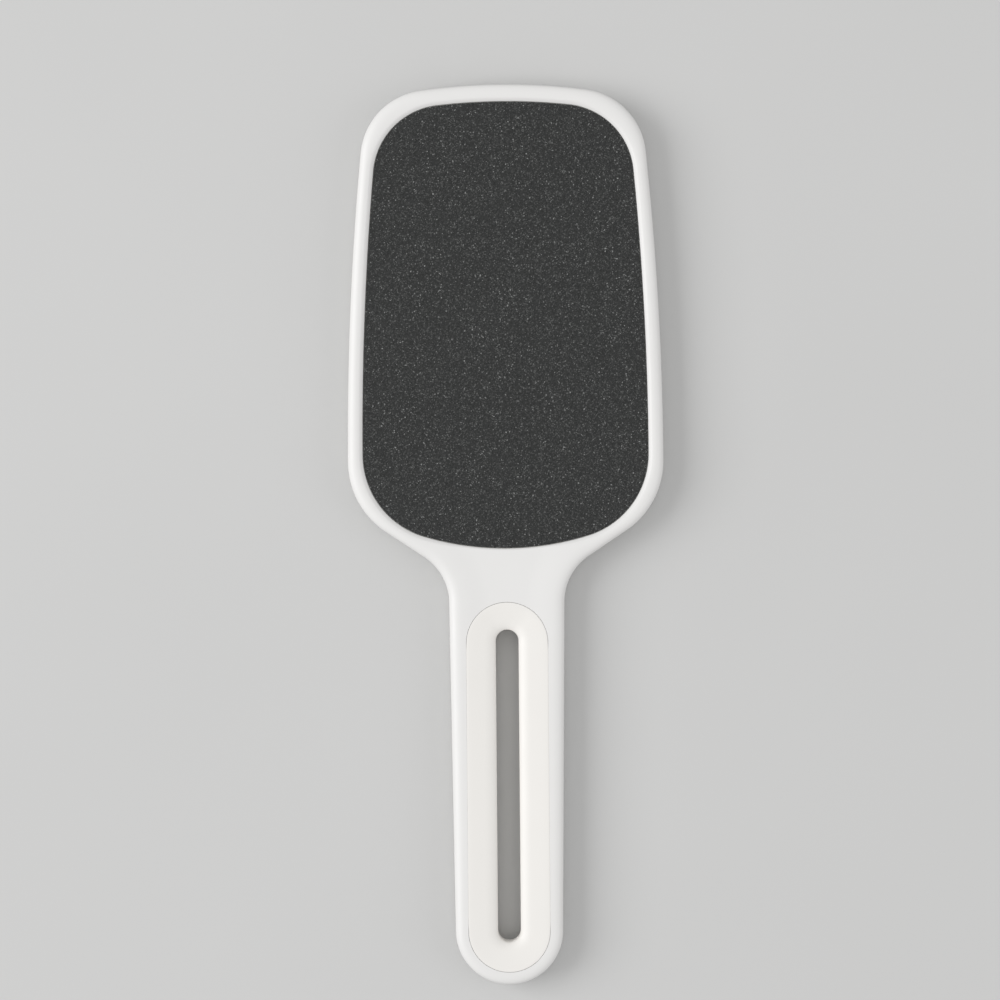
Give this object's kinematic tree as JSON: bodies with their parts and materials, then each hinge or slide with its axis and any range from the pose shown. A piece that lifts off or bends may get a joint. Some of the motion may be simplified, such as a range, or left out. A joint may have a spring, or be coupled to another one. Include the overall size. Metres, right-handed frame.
{
  "type": "foot file",
  "caption": "Flat two-sided foot file: hollow paddle with a dark abrasive sheet in each face of its head and a slotted inlay in its handle, for smoothing hard skin and hanging on a hook.",
  "frame": {"origin": "centre of the outline in X and Y, on the plane that the file lies on when its coarse face is up", "axes": "+Y from the handle's round end to the tip of the head, +Z out of the coarse face, X across the head"},
  "size_m": [0.087, 0.248, 0.01],
  "materials": {
    "white_plastic": "moulded white ABS, satin gloss",
    "ivory_plastic": "moulded warm white ABS, satin gloss",
    "coarse_grit": "coarse dark mineral grit bonded to a backing sheet",
    "fine_grit": "fine dark mineral grit bonded to a backing sheet",
    "adhesive": "clear to yellowish adhesive film"
  },
  "bodies": {
    "root": {"front_shell": "white_plastic", "back_shell": "white_plastic", "coarse_abrasive_sheet": "coarse_grit", "coarse_adhesive_film": "adhesive", "fine_abrasive_sheet": "fine_grit", "fine_adhesive_film": "adhesive", "front_inlay": "ivory_plastic", "back_inlay": "ivory_plastic"}
  },
  "joints": []
}
